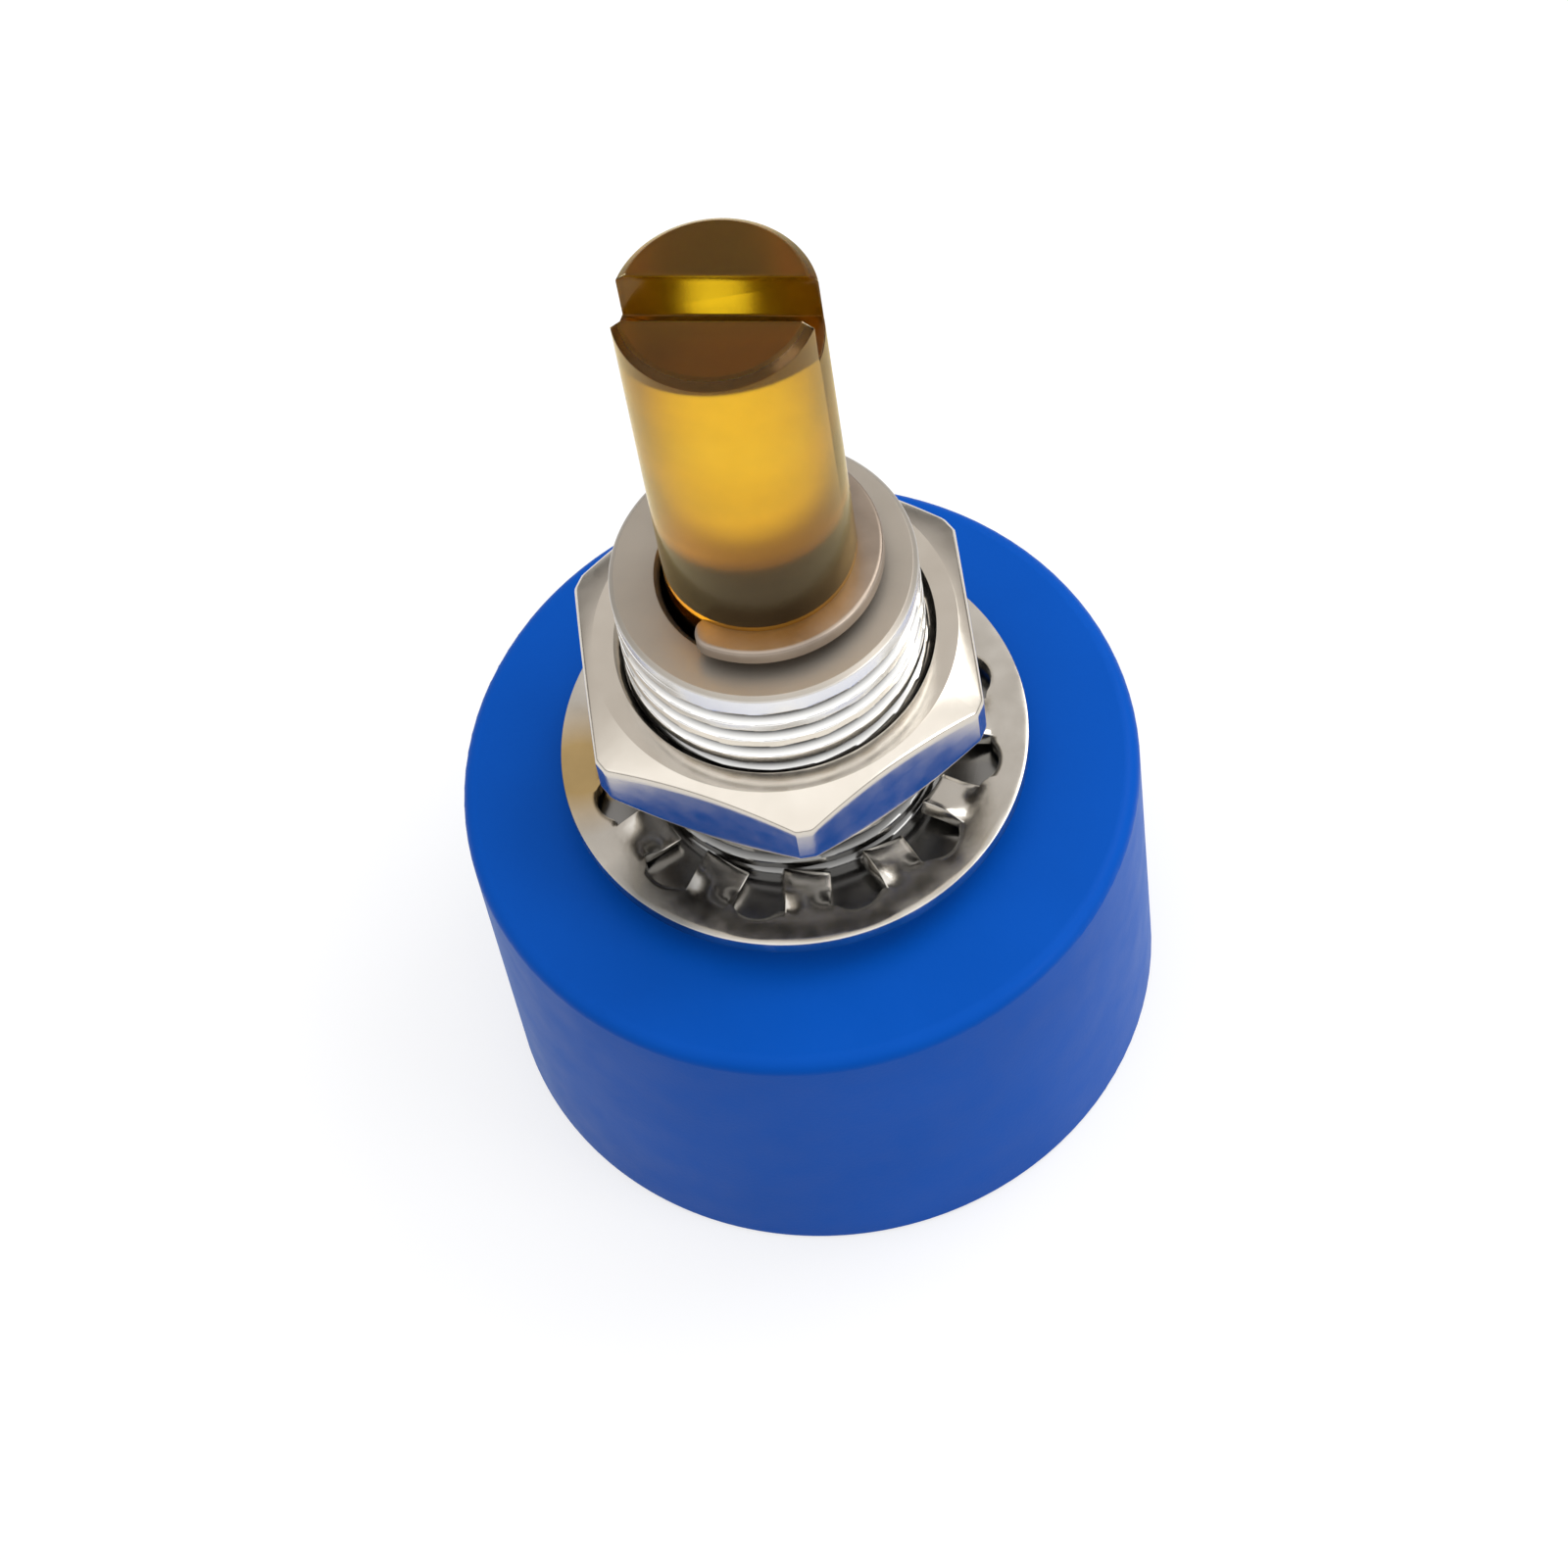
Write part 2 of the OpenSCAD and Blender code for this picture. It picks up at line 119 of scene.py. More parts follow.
FACE_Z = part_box("housing")[1].z
FLANGE_R, BUSHING_BOTTOM, BUSHING_TOP = span("bushing")
WASHER_R, WASHER_BOTTOM, WASHER_TOP = span("lock_washer")
_, NUT_BOTTOM, NUT_TOP = span("hex_nut")
COLLAR_R, SHAFT_BOTTOM, SHAFT_TIP = span("shaft")
CLIP_R, CLIP_BOTTOM, CLIP_TOP = span("retaining_clip")
THREAD_R = 4.7625 * MM
EDGE = 0.05 * MM
print("mounting face and shaft tip, mm:", round(FACE_Z / MM, 2), round(SHAFT_TIP / MM, 2))

# %% [markdown]
# Round parts are built as a lathe would cut them: a section is repeated round the axis
# and joined to its neighbours. Blender's Screw modifier could do that too, but only
# with one section for the whole turn. Here the section may change with the angle, which
# is enough to make a hexagon nut. Each corner of a section can be given a radius,
# because an edge without one never catches the light.

# %% Lathe helpers
ARC_STEPS = 4
LONGEST_ARC = 0.49
WELD = 1e-7


def rounded(corners):
    """Turns (r, z, radius) corners of a closed section into points, with small arcs."""
    points = []
    count = len(corners)
    for i, (r, z, radius) in enumerate(corners):
        here = Vector((r, z))
        if radius == 0:
            points.append(here)
            continue
        before = Vector(corners[i - 1][:2]) - here
        after = Vector(corners[(i + 1) % count][:2]) - here
        half = before.angle(after) / 2
        shorter = min(before.length, after.length)
        reach = min(radius / math.tan(half), shorter * LONGEST_ARC)
        start = here + before.normalized() * reach
        end = here + after.normalized() * reach
        for k in range(ARC_STEPS + 1):
            t = k / ARC_STEPS
            points.append(start.lerp(here, t).lerp(here.lerp(end, t), t))
    return points


def mesh_from(work, name):
    """Turns the working mesh into a real one."""
    mesh = bpy.data.meshes.new(name)
    work.to_mesh(mesh)
    work.free()
    return mesh


def bridge(work, loops, closed):
    """Faces between rings of points, each ring joined to the next."""
    pairs = list(zip(loops, loops[1:]))
    if closed:
        pairs.append((loops[-1], loops[0]))
    for here, following in pairs:
        for j in range(len(here)):
            k = (j + 1) % len(here)
            work.faces.new((here[j], following[j], following[k], here[k]))


def lathe(name, section_at, turns):
    """Mesh from section_at(angle), a list of (r, z) points of the same length."""
    work = bmesh.new()
    columns = []
    for i in range(turns):
        angle = i / turns * 2 * math.pi
        direction = Vector((math.cos(angle), math.sin(angle), 0))
        columns.append([
            work.verts.new(direction * r + Vector((0, 0, z)))
            for r, z in section_at(angle)
        ])
    bridge(work, columns, closed=True)
    bmesh.ops.remove_doubles(work, verts=work.verts, dist=WELD)
    bmesh.ops.recalc_face_normals(work, faces=work.faces)
    return mesh_from(work, name)


def new_object(name, mesh):
    piece = bpy.data.objects.new(name, mesh)
    bpy.context.scene.collection.objects.link(piece)
    return piece


def smooth(mesh, angle):
    """Smooth shading that keeps corners sharper than the angle, in degrees."""
    mesh.polygons.foreach_set("use_smooth", [True] * len(mesh.polygons))
    mesh.set_sharp_from_angle(angle=math.radians(angle))
    mesh.update()


def bake(piece):
    """Applies every modifier and returns a plain object of the same name."""
    graph = bpy.context.evaluated_depsgraph_get()
    mesh = bpy.data.meshes.new_from_object(piece.evaluated_get(graph))
    name = piece.name
    bpy.data.objects.remove(piece)
    mesh.name = name
    return new_object(name, mesh)


print("lathe helpers ready,", ARC_STEPS, "steps for each rounded corner")

# %% [markdown]
# Materials, the world and Geometry Nodes are all trees of nodes. Each node could be
# made, set and linked in three lines, which soon hides what a tree does. One helper
# makes a node, sets its properties, and fills each input with a wire or a plain value.

# %% Node helpers
def add_node(tree, kind, wires=None, **settings):
    """Adds a node; wires maps an input's index or name to a source or a value."""
    made = tree.nodes.new(kind)
    for name, value in settings.items():
        setattr(made, name, value)
    for where, source in (wires or {}).items():
        if isinstance(source, bpy.types.NodeSocket):
            tree.links.new(source, made.inputs[where])
        else:
            made.inputs[where].default_value = source
    return made


def empty_tree(owner):
    """The node tree of a material or a world, without its first nodes."""
    owner.use_nodes = True
    owner.node_tree.nodes.clear()
    return owner.node_tree


def any_ray(tree, *kinds):
    """1 for rays of the given kinds and 0 for all others."""
    rays = add_node(tree, "ShaderNodeLightPath").outputs
    found = rays[f"Is {kinds[0]} Ray"]
    for kind in kinds[1:]:
        wires = {0: found, 1: rays[f"Is {kind} Ray"]}
        found = add_node(tree, "ShaderNodeMath", wires, operation="MAXIMUM").outputs[0]
    return found


print("node helpers ready")

# %% [markdown]
# A finish is what the eye reads as plastic, plating or spring steel: a colour, a gloss
# and a grain. Pictures could be wrapped round the pieces, but patterns made by rule
# have no seams and keep their real size. Plain numbers go straight on the shader, and
# only colour, roughness and bump are driven by patterns, so the finish survives an
# export. All patterns read object coordinates in metres.

# %% Material helpers
TINT_CORE = 0.35


class Finish:
    """One procedural material, built up step by step."""

    def __init__(self, slot, **sockets):
        self.slot = slot
        self.material = bpy.data.materials.new(slot)
        self.material.use_nodes = True
        self.tree = self.material.node_tree
        self.shader = self.tree.nodes["Principled BSDF"]
        self.place = self.node("TexCoord").outputs["Object"]
        for name, value in sockets.items():
            self.shader.inputs[name.replace("_", " ")].default_value = value

    def node(self, kind, wires=None, **settings):
        return add_node(self.tree, "ShaderNode" + kind, wires, **settings)

    def drive(self, socket, source):
        self.tree.links.new(source, self.shader.inputs[socket])

    def colour(self, source):
        self.drive("Base Color", source)

    def roughness(self, source):
        self.drive("Roughness", source)

    def noise(self, grain_mm, detail=4.0):
        """Noise whose blobs are about grain_mm across."""
        wires = {"Vector": self.place, "Scale": 1 / (grain_mm * MM), "Detail": detail}
        return self.node("TexNoise", wires).outputs["Fac"]

    def grooves(self, source, spacing_mm):
        """Fine turned grooves along a distance, one every spacing_mm, a little uneven."""
        scaled = self.node("Math", {0: source, 1: 1 / (spacing_mm * MM)}, operation="MULTIPLY")
        wires = {"W": scaled.outputs[0], "Scale": 1.0, "Detail": 2.0}
        return self.node("TexNoise", wires, noise_dimensions="1D").outputs["Fac"]

    def ramp(self, source, low, high, start=0.3, end=0.7):
        """Blends two colours or two numbers by a pattern."""
        made = self.node("ValToRGB", {"Fac": source})
        for element, value, position in zip(made.color_ramp.elements, (low, high), (start, end)):
            shade = value if isinstance(value, tuple) else (value,) * 3
            element.color = (*shade, 1)
            element.position = position
        return made.outputs["Color"]

    def bump(self, *layers):
        """Stacks bumps, each a pattern with its height in mm."""
        wires = {"Strength": 1.0}
        for source, height_mm in layers:
            wires.update({"Distance": height_mm * MM, "Height": source})
            wires["Normal"] = self.node("Bump", wires).outputs["Normal"]
        self.drive("Normal", wires["Normal"])

    def radius(self):
        """Distance from the shaft's axis."""
        flat = self.node("VectorMath", {0: self.place, 1: (1, 1, 0)}, operation="MULTIPLY")
        return self.node("VectorMath", {0: flat.outputs[0]}, operation="LENGTH").outputs["Value"]

    def height(self):
        """Height above the rear face."""
        return self.node("SeparateXYZ", {0: self.place}).outputs["Z"]

    def within(self, source, low, high):
        """Runs from 0 at one distance to 1 at another."""
        wires = {"Value": source, "From Min": low, "From Max": high}
        return self.node("MapRange", wires).outputs["Result"]

    def shade(self, source):
        """Multiplies the colour so far by another."""
        so_far = self.shader.inputs["Base Color"].links[0].from_socket
        shaded = self.node("VectorMath", {0: so_far, 1: source}, operation="MULTIPLY")
        self.colour(shaded.outputs[0])

    def paint_shade_below(self, low, high, least):
        """Painted shade: darkens the colour towards a height, where parts meet and shade falls."""
        self.shade(self.ramp(self.within(self.height(), low, high), least, 1.0, 0, 1))

    def tint_round(self, centre, reach, tint):
        """Multiplies the colour by a tint round one spot, gone at its reach."""
        away = self.node("VectorMath", {0: self.place, 1: centre}, operation="DISTANCE")
        fade = self.within(away.outputs["Value"], reach * TINT_CORE, reach)
        self.shade(self.ramp(fade, tint, 1.0, 0, 1))


def dress(piece, finish):
    """Gives a piece one finish."""
    piece.data.materials.clear()
    piece.data.materials.append(finish.material)
    return piece


print("material helpers ready")

# %% [markdown]
# The body is moulded in a strong blue plastic, and the parts inside in black and white.
# One flat colour would look like paint on paper: moulded plastic has faint flow clouds,
# a very fine satin from the mould, and is a touch more matt in places. The reflection
# is kept weak, because a strong one would grey the blue. A little sheen gives the side
# walls, which are seen at a slant, the pale veil that fine satin has there.

# %% Plastic finishes
blue = Finish("blue_plastic", Specular_IOR_Level=0.05, Sheen_Weight=0.08,
              Sheen_Roughness=0.4, Sheen_Tint=(0.4, 0.9, 1.0, 1))
blue.colour(blue.ramp(blue.noise(6.0), (0.0008, 0.081, 0.465), (0.0014, 0.089, 0.505)))
blue.roughness(blue.ramp(blue.noise(1.5), 0.38, 0.46))
blue.bump((blue.noise(0.12, 2.0), 0.004), (blue.noise(4.0, 1.0), 0.012))

blue_rear = Finish("blue_plastic_rear", Specular_IOR_Level=0.12)
blue_rear.colour(blue_rear.ramp(blue_rear.noise(5.0), (0.002, 0.055, 0.33), (0.003, 0.065, 0.38)))
blue_rear.roughness(blue_rear.ramp(blue_rear.noise(1.2), 0.42, 0.55))
blue_rear.bump((blue_rear.noise(0.12, 2.0), 0.005), (blue_rear.noise(3.0, 2.0), 0.02))

black = Finish("black_plastic")
black.colour(black.ramp(black.noise(2.0), (0.012, 0.012, 0.014), (0.022, 0.022, 0.026)))
black.roughness(black.ramp(black.noise(0.6), 0.45, 0.6))
black.bump((black.noise(0.1, 2.0), 0.004))

white = Finish("white_plastic")
white.colour(white.ramp(white.noise(1.5), (0.62, 0.58, 0.48), (0.72, 0.69, 0.60)))
white.roughness(white.ramp(white.noise(0.5), 0.4, 0.55))
white.bump((white.noise(0.1, 2.0), 0.003))
print("plastic finishes made")

# %% [markdown]
# The shaft is a clear amber plastic. A yellow surface would look like painted metal, so
# the colour comes mostly from the depth: the volume absorbs blue and green, and light
# that has crossed more of it is darker and redder. A tinted coat with hardly any gloss
# warms what the skin mirrors, which would be a grey veil otherwise. The sawn tip is
# frosted. Shade is painted into the colour where the shaft meets the clip, and a fainter
# painted shade darkens the few millimetres above it.

# %% Transparent amber
FROST_FROM = SHAFT_TIP - 0.12 * MM
FROST_FULL = SHAFT_TIP - 0.04 * MM
FROSTED = (0.42, 0.42, 0.42, 1)

amber = Finish("amber_plastic", IOR=1.62, Transmission_Weight=1.0,
               Specular_Tint=(0.72, 0.47, 0.30, 1), Coat_Weight=1.0, Coat_IOR=1.05,
               Coat_Tint=(1.0, 0.93, 0.70, 1))
amber.colour(amber.ramp(amber.noise(2.0), (0.98, 0.76, 0.04), (1.0, 0.82, 0.06)))
# Painted shade: dark where the shaft meets the clip, and fainter for a few mm above.
amber.paint_shade_below(CLIP_TOP - 0.05 * MM, CLIP_TOP + 0.2 * MM, 0.2)
amber.paint_shade_below(CLIP_TOP + 1.0 * MM, CLIP_TOP + 5.0 * MM, (0.74, 0.58, 0.48))
gloss = amber.node("Mix", data_type="RGBA", wires={
    0: amber.within(amber.height(), FROST_FROM, FROST_FULL),
    6: amber.ramp(amber.noise(0.8), 0.17, 0.22), 7: FROSTED,
})
amber.roughness(gloss.outputs[2])
amber.bump((amber.noise(2.5, 0.0), 0.008))
absorb = amber.node("VolumeAbsorption", {"Color": (0.97, 0.55, 0.05, 1), "Density": 60.0})
outlet = amber.tree.nodes["Material Output"]
amber.tree.links.new(absorb.outputs["Volume"], outlet.inputs["Volume"])
print("amber made")

# %% [markdown]
# The metals are bright plating on the nut, the washer and the lugs, and bronze, brass
# and copper. Perfect mirrors would look like glass: plating follows what is under it,
# so each metal has clouds of colour and gloss and a fine grain. Shade is painted on the
# nut's lower edge, the washer gets a golden tint on one side, and a painted dark
# reflection darkens its front.

# %% Metal finishes
def metal(slot, dark, light, rough, grain_mm=0.8, bump_mm=0.0015):
    """Plated or bare metal with clouded colour, clouded gloss and a fine grain."""
    made = Finish(slot, Metallic=1.0)
    made.colour(made.ramp(made.noise(grain_mm * 2), dark, light))
    made.roughness(made.ramp(made.noise(grain_mm), *rough))
    made.bump((made.noise(grain_mm / 4, 3.0), bump_mm))
    return made


SMOOTH_MM = 0.0006
GOLDEN = (0.80, 0.60, 0.30)
GOLDEN_AT = Vector((-7.0, 0.3, 14.5)) * MM
DARK_REFLECTION_TINT = (0.42, 0.44, 0.47)
DARK_REFLECTION_AT = Vector((-5.0, -5.2, 14.5)) * MM

nickel = metal("nickel_nut", (0.61, 0.56, 0.49), (0.67, 0.62, 0.55), (0.15, 0.21), 0.8, SMOOTH_MM)
# Painted shade: darker at the nut's lower edge, where it sits on the washer.
nickel.paint_shade_below(NUT_BOTTOM, NUT_BOTTOM + 0.35 * MM, 0.3)
spring = metal("plated_spring_steel", (0.54, 0.51, 0.46), (0.67, 0.64, 0.59), (0.14, 0.26))
# A golden tint round one spot on the washer's left side.
spring.tint_round(GOLDEN_AT, 2.6 * MM, GOLDEN)
# Painted dark reflection: the washer's front-left mirrors the nut's dark underside, painted into
# its colour.
spring.tint_round(DARK_REFLECTION_AT, 2.4 * MM, DARK_REFLECTION_TINT)
bronze = metal("bronze_clip", (0.29, 0.235, 0.19), (0.40, 0.33, 0.27), (0.32, 0.40), 0.8, SMOOTH_MM)
brass = metal("brass_contact", (0.62, 0.38, 0.12), (0.72, 0.48, 0.18), (0.2, 0.35))
alloy = metal("contact_alloy", (0.80, 0.64, 0.28), (0.86, 0.72, 0.36), (0.12, 0.2))
strap = metal("copper_strap", (0.62, 0.28, 0.14), (0.72, 0.36, 0.2), (0.25, 0.4))
tinned = metal("tinned_lug", (0.62, 0.61, 0.57), (0.76, 0.75, 0.71), (0.26, 0.42), 1.2, 0.004)
print("metal finishes made")

# %% [markdown]
# The bushing is turned brass with bright plating. One colour all over would lose the
# thread, so shade is painted into its colour: it falls with the radius, from bright
# crests to dark roots, and with the height, darkening the bushing below the nut. The end
# face gets none of this painted shade but is browner and more matt. Very fine grooves
# round the axis are what turning left.

# %% Plated finish of the bushing
ROOT_DARK = 4.46 * MM
CREST_BRIGHT = 4.74 * MM
END_FROM = BUSHING_TOP - 0.2 * MM
END_FULL = BUSHING_TOP - 0.1 * MM
END_TINT = (0.50, 0.46, 0.41, 1)
ROOT_SHADE = 0.05

plated = Finish("plated_bushing", Metallic=1.0)
bright = plated.ramp(plated.noise(2.0), (0.84, 0.83, 0.81), (0.92, 0.91, 0.89))
# Painted shade: dark thread roots, with crests and end face left bright.
on_crest = plated.within(plated.radius(), ROOT_DARK, CREST_BRIGHT)
on_end = plated.within(plated.height(), END_FROM, END_FULL)
free_of_painted_shade = plated.node("Math", {0: on_crest, 1: on_end}, operation="MAXIMUM").outputs[0]
ended = plated.node("Mix", {0: on_end, 6: bright, 7: END_TINT}, data_type="RGBA",
                    blend_type="MULTIPLY")
plated.colour(ended.outputs[2])
plated.shade(plated.ramp(free_of_painted_shade, ROOT_SHADE, 1.0, 0, 1))
# Painted shade: darker below the nut, where the bushing lies in shadow.
plated.paint_shade_below(NUT_BOTTOM - 0.5 * MM, NUT_BOTTOM + 0.3 * MM, 0.28)
plated.roughness(plated.ramp(on_end, 0.2, 0.5, 0, 1))
plated.bump((plated.grooves(plated.radius(), 0.06), 0.0008))
print("bushing finish made, nut from", round(NUT_BOTTOM / MM, 2), "mm up")

# %% [markdown]
# Inside the body, the resistance ring is a former of enamelled copper wound with very
# fine wire, hundreds of turns side by side. Each turn could be a curve of its own, but
# the ring is hidden, so the turns are a pattern round it: stripes that follow the angle,
# with a bump that makes each turn round.

# %% Winding finishes
WIRE_TURNS = 420

enamel = Finish("enamelled_copper", Coat_Weight=0.6)
enamel.colour(enamel.ramp(enamel.noise(1.0), (0.16, 0.03, 0.01), (0.26, 0.06, 0.02)))
enamel.roughness(enamel.ramp(enamel.noise(0.5), 0.2, 0.3))
enamel.bump((enamel.noise(0.2, 2.0), 0.002))

winding = Finish("resistance_wire", Metallic=1.0)
split = winding.node("SeparateXYZ", {0: winding.place}).outputs
heading = winding.node("Math", {0: split["Y"], 1: split["X"]}, operation="ARCTAN2")
turned = winding.node("Math", {0: heading.outputs[0], 1: WIRE_TURNS}, operation="MULTIPLY")
wave = winding.node("Math", {0: turned.outputs[0]}, operation="SINE").outputs[0]
winding.colour(winding.ramp(wave, (0.22, 0.20, 0.18), (0.62, 0.58, 0.52)))
winding.roughness(winding.ramp(winding.noise(0.4), 0.25, 0.4))
winding.bump((wave, 0.01))
print("winding of", WIRE_TURNS, "turns made")

# %% [markdown]
# Some forms follow a rule, such as a thread's helix or the teeth of a washer. They could
# be drawn once and copied by hand, but Geometry Nodes keep the rule itself, with named
# inputs. Each tree below is built by the same small class, and ends by realizing its
# instances and setting the material, so that nothing is lost on export.

# %% Geometry Nodes helpers
class Tree:
    """A geometry node tree with named inputs."""

    def __init__(self, name, inputs):
        self.group = bpy.data.node_groups.new(name, "GeometryNodeTree")
        face = self.group.interface
        face.new_socket(name="Geometry", in_out="INPUT", socket_type="NodeSocketGeometry")
        self.ids = {}
        for label, value in inputs.items():
            kind = "NodeSocketInt" if isinstance(value, int) else "NodeSocketFloat"
            socket = face.new_socket(name=label, in_out="INPUT", socket_type=kind)
            socket.default_value = value
            self.ids[label] = socket.identifier
        face.new_socket(name="Geometry", in_out="OUTPUT", socket_type="NodeSocketGeometry")
        self.values = inputs
        self.given = {socket.name: socket for socket in self.add("NodeGroupInput").outputs}

    def add(self, kind, wires=None, **settings):
        return add_node(self.group, kind, wires, **settings)

    def math(self, operation, first, second=0.0, clamp=False):
        wires = {0: first, 1: second}
        return self.add("ShaderNodeMath", wires, operation=operation, use_clamp=clamp).outputs[0]

    def vector(self, operation, first, **wires):
        wires = {0: first, **wires}
        return self.add("ShaderNodeVectorMath", wires, operation=operation).outputs

    def finish(self, geometry, material):
        real = self.add("GeometryNodeRealizeInstances", {0: geometry})
        done = self.add("GeometryNodeSetMaterial", {0: real.outputs[0], "Material": material})
        self.add("NodeGroupOutput", {0: done.outputs[0]})

    def apply_to(self, piece):
        modifier = piece.modifiers.new(self.group.name, "NODES")
        modifier.node_group = self.group
        for label, identifier in self.ids.items():
            modifier[identifier] = self.values[label]


print("geometry node helpers ready")

# %% [markdown]
# The bushing is turned from bar: a flange inside the body, a neck with two flats in the
# body's wall, a shoulder under the washer and the long barrel with its chamfered mouth.
# It could be stacked from cylinders, but one closed section round the axis leaves no
# seams. The barrel gets many rows of points, so that a thread can be cut in it.

# %% Bushing, turned
SHOULDER_R = 6.9 * MM
SHOULDER_H = 0.95 * MM
NECK_R = 5.65 * MM
NECK_FLAT = 4.95 * MM
FLANGE_T = 1.0 * MM
BORE_R = 3.05 * MM
MOUTH_W = 0.3 * MM
MOUTH_H = 0.3 * MM
LEAD_CHAMFER = 0.15 * MM
BARREL_ROWS = 230
BARREL_TURNS = 168

shoulder_top = FACE_Z + SHOULDER_H
barrel_top = BUSHING_TOP - LEAD_CHAMFER
row_height = (barrel_top - shoulder_top) / (BARREL_ROWS + 1)


def bushing_section(angle):
    """Section of the bushing at an angle; only the neck's two flats change with it."""
    side = abs(math.sin(angle))
    neck = min(NECK_R, NECK_FLAT / side) if side > 0 else NECK_R
    barrel = [(THREAD_R, shoulder_top + row_height * (i + 1), 0) for i in range(BARREL_ROWS)]
    neck_bottom = BUSHING_BOTTOM + FLANGE_T
    return rounded([
        (BORE_R, BUSHING_BOTTOM, EDGE),
        (FLANGE_R, BUSHING_BOTTOM, EDGE), (FLANGE_R, neck_bottom, EDGE),
        (neck, neck_bottom, 0), (neck, FACE_Z, 0),
        (SHOULDER_R, FACE_Z, 0), (SHOULDER_R, shoulder_top, EDGE),
        (THREAD_R, shoulder_top, 0), *barrel,
        (THREAD_R, barrel_top, EDGE), (THREAD_R - LEAD_CHAMFER, BUSHING_TOP, EDGE),
        (BORE_R + MOUTH_W, BUSHING_TOP, EDGE), (BORE_R, BUSHING_TOP - MOUTH_H, 0),
    ])


bushing = new_object("threaded_bushing", lathe("threaded_bushing", bushing_section, BARREL_TURNS))
print("bushing turned, faces:", len(bushing.data.polygons))

# %% [markdown]
# The thread is what the nut climbs. A bump pattern could suggest it, but its edge would
# stay straight against the light. A thread follows a rule: a point's depth depends on
# its height and on its angle round the axis, which is a helix. Geometry Nodes push each
# point of the barrel in by that rule, and fade the groove out below the end.

# %% Thread, cut by rule
PITCH = 0.95 * MM
THREAD_DEPTH = 0.45 * MM
THREAD_PHASE = 0.436
THREAD_START = shoulder_top + 0.3 * MM
THREAD_END = BUSHING_TOP - 0.55 * MM
RUN_OUT = 0.3 * MM
ROOT_WIDTH = 1.24
FLANK_SLOPE = 2.0
WHOLE_TURNS = 64.0
ON_BARREL = 1e-5

thread = Tree("cut_thread", {
    "Pitch": PITCH, "Depth": THREAD_DEPTH, "Barrel Radius": THREAD_R, "Phase": THREAD_PHASE,
    "Thread Start": THREAD_START, "Thread End": THREAD_END, "Run Out": RUN_OUT,
})
given = thread.given
position = thread.add("GeometryNodeInputPosition").outputs[0]
axes = thread.add("ShaderNodeSeparateXYZ", {0: position}).outputs
flat = thread.add("ShaderNodeCombineXYZ", {0: axes[0], 1: axes[1]}).outputs[0]
distance = thread.vector("LENGTH", flat)["Value"]
outward = thread.vector("NORMALIZE", flat)[0]
turned = thread.math("DIVIDE", thread.math("ARCTAN2", axes[1], axes[0]), 2 * math.pi)
climbed = thread.math("DIVIDE", axes[2], given["Pitch"])
helix = thread.math("ADD", thread.math("SUBTRACT", climbed, turned), given["Phase"])
phase = thread.math("FRACT", thread.math("ADD", helix, WHOLE_TURNS))
flank = thread.math("ABSOLUTE", thread.math("SUBTRACT", thread.math("MULTIPLY", phase, 2.0), 1.0))
sloped = thread.math("MULTIPLY", flank, FLANK_SLOPE)
groove = thread.math("SUBTRACT", ROOT_WIDTH, sloped, clamp=True)
to_end = thread.math("SUBTRACT", given["Thread End"], axes[2])
from_start = thread.math("SUBTRACT", axes[2], given["Thread Start"])
below = thread.math("DIVIDE", to_end, given["Run Out"], clamp=True)
above = thread.math("DIVIDE", from_start, given["Run Out"], clamp=True)
cut_depth = thread.math("MULTIPLY", thread.math("MULTIPLY", below, above), groove)
cut_depth = thread.math("MULTIPLY", thread.math("MULTIPLY", cut_depth, given["Depth"]), -1.0)
on_barrel = thread.add("FunctionNodeCompare",
                       {0: distance, 1: given["Barrel Radius"], 12: ON_BARREL},
                       data_type="FLOAT", operation="EQUAL").outputs[0]
cut = thread.add("GeometryNodeSetPosition", {
    "Geometry": given["Geometry"], "Selection": on_barrel,
    "Offset": thread.vector("SCALE", outward, Scale=cut_depth)[0],
})
thread.finish(cut.outputs[0], plated.material)

thread.apply_to(bushing)
bushing = bake(bushing)
smooth(bushing.data, 50)
dress(bushing, plated)
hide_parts("bushing")
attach(bushing, "stator")
print("thread turns:", round((THREAD_END - THREAD_START) / PITCH, 1))

# %% [markdown]
# The nut is a hexagon bar, turned on both faces to a cone and then drilled. A six-sided
# cylinder would miss the curved line that every chamfered nut shows on its sides. A
# lathe section whose outer radius follows the hexagon gives that line by itself, since
# flat and cone meet in it. A pair of extra rows keeps each side flat up to its edge.

# %% Hex nut
NUT_FLATS = 12.2 * MM
NUT_TURN = math.radians(-91.8)
NUT_FACE_R = NUT_FLATS / 2 - 0.35 * MM
NUT_CHAMFER = math.tan(math.radians(30))
NUT_BORE_R = THREAD_R + 0.05 * MM
NUT_SINK = 0.25 * MM
NUT_EDGE = 0.26 * MM
NUT_EDGE_ROOM = 0.32 * MM
NUT_RIM = 0.03 * MM
NUT_CORNER = 0.15 * MM
NUT_TURNS = 360


def hexagon_radius(angle):
    """Distance from the nut's axis to its side, with corners just broken."""
    from_corner = (angle - NUT_TURN) % (math.pi / 3)
    from_flat = from_corner - math.pi / 6
    to_corner = min(from_corner, math.pi / 3 - from_corner)
    corner = NUT_FLATS / 2 / math.cos(math.pi / 6)
    return min(NUT_FLATS / 2 / math.cos(from_flat), (corner - NUT_CORNER) / math.cos(to_corner))


